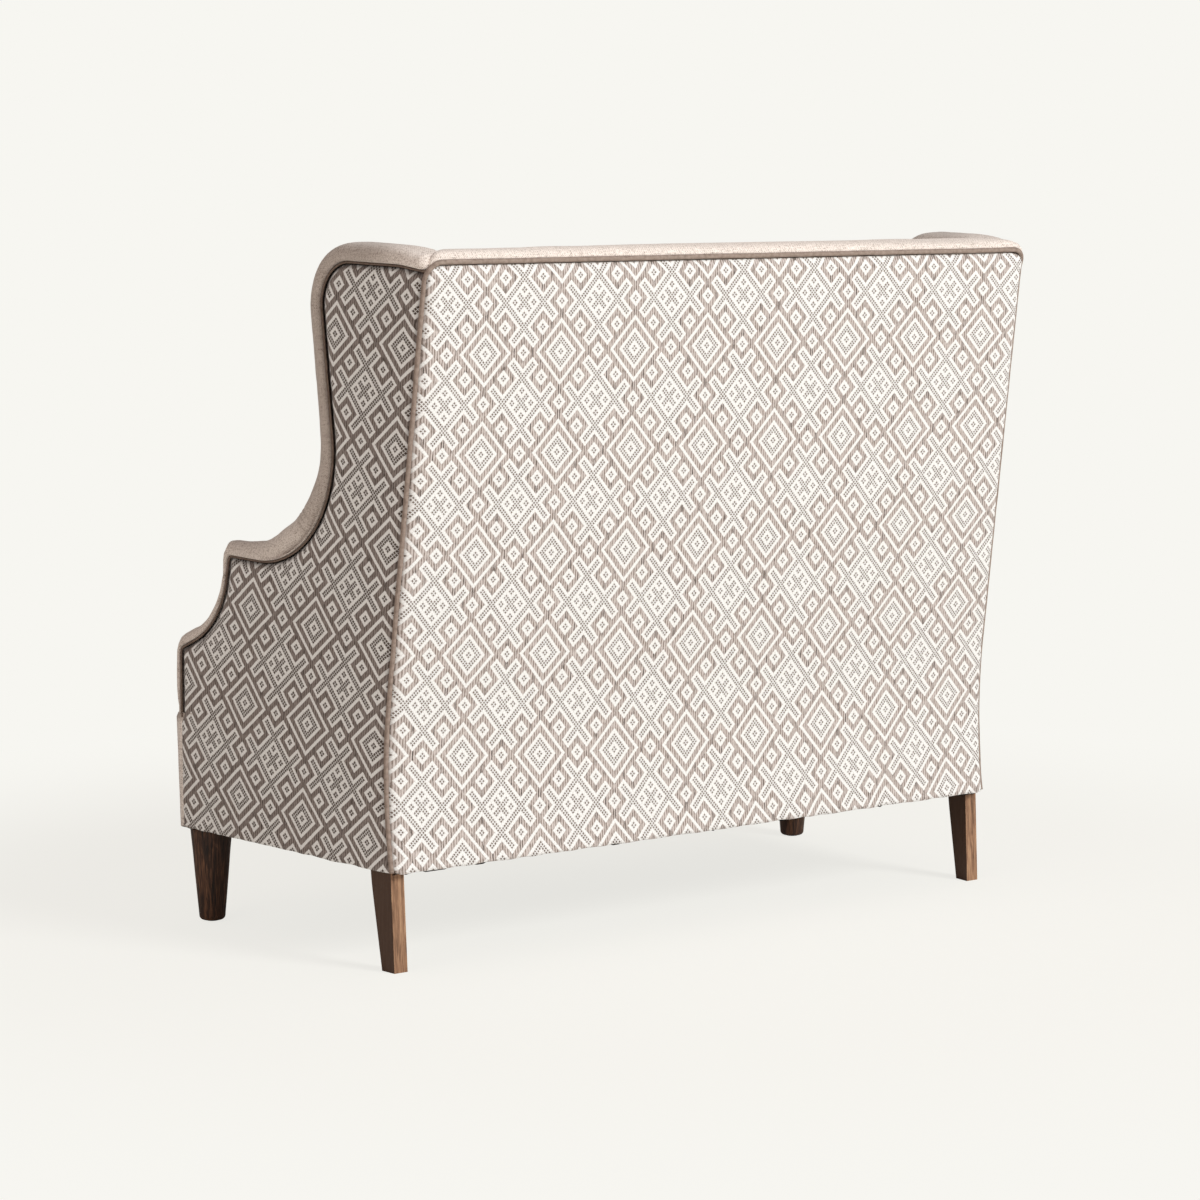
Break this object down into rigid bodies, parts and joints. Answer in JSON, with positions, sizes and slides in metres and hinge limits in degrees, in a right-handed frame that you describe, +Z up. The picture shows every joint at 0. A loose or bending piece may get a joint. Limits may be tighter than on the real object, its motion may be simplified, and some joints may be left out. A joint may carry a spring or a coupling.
{
  "type": "sofa bench",
  "caption": "High-backed wing settee with woven outside covers, linen rolls over the wings and arms, a sprung tight seat, turned front legs and raked rear legs.",
  "frame": {"origin": "on the floor, at the centre of the settee's bounding box", "axes": "+Z up, -Y out of the front of the seat, +X towards the sitter's left hand"},
  "size_m": [1.3252, 0.6537, 1.1033],
  "materials": {
    "woven_fabric": "thick jacquard weave, off-white diamonds on grey-taupe",
    "linen": "plain fine-weave beige linen",
    "welt": "grey-brown piping cord cover",
    "leg_wood": "dark brown stained hardwood, satin lacquer",
    "glide_plastic": "matt dark",
    "dust_cloth": "black non-woven cloth",
    "steel": "plain zinc-plated steel",
    "hessian": "coarse jute cloth and webbing",
    "foam": "upholstery foam, cream",
    "backing_board": "stiff fibre board",
    "frame_wood": "unfinished beech"
  },
  "bodies": {
    "root": {"arm_rail_left": "frame_wood", "arm_rail_right": "frame_wood", "arm_stump_left": "frame_wood", "arm_stump_right": "frame_wood", "arm_wing_backing_left": "backing_board", "arm_wing_backing_right": "backing_board", "arm_wing_cover_left": "linen", "arm_wing_cover_right": "linen", "arm_wing_foam_left": "foam", "arm_wing_foam_right": "foam", "back_centre_upright": "frame_wood", "back_hessian": "hessian", "back_lower_rail": "frame_wood", "back_top_rail": "frame_wood", "back_webbing": "hessian", "back_welt": "welt", "block_screws": "steel", "corner_blocks": "frame_wood", "dust_cover": "dust_cloth", "dust_cover_staples": "steel", "frame_dowels": "frame_wood", "front_border": "linen", "front_leg_left": "leg_wood", "front_leg_right": "leg_wood", "front_post_left": "frame_wood", "front_post_right": "frame_wood", "front_seat_rail": "frame_wood", "inside_back_cover": "linen", "inside_back_foam": "foam", "leg_glides": "glide_plastic", "leg_hanger_bolts": "steel", "leg_insert_nuts": "steel", "outside_arm_cover_left": "woven_fabric", "outside_arm_cover_right": "woven_fabric", "outside_back_cover": "woven_fabric", "rear_seat_rail": "frame_wood", "rear_stile_left": "leg_wood", "rear_stile_right": "leg_wood", "seat_centre_brace": "frame_wood", "seat_cover": "linen", "seat_edge_roll": "foam", "seat_foam": "foam", "seat_hessian": "hessian", "seat_springs": "steel", "side_seat_rail_left": "frame_wood", "side_seat_rail_right": "frame_wood", "side_welt_left": "welt", "side_welt_right": "welt", "spring_clips": "steel", "wing_post_left": "frame_wood", "wing_post_right": "frame_wood", "wing_top_rail_left": "frame_wood", "wing_top_rail_right": "frame_wood"}
  },
  "joints": []
}
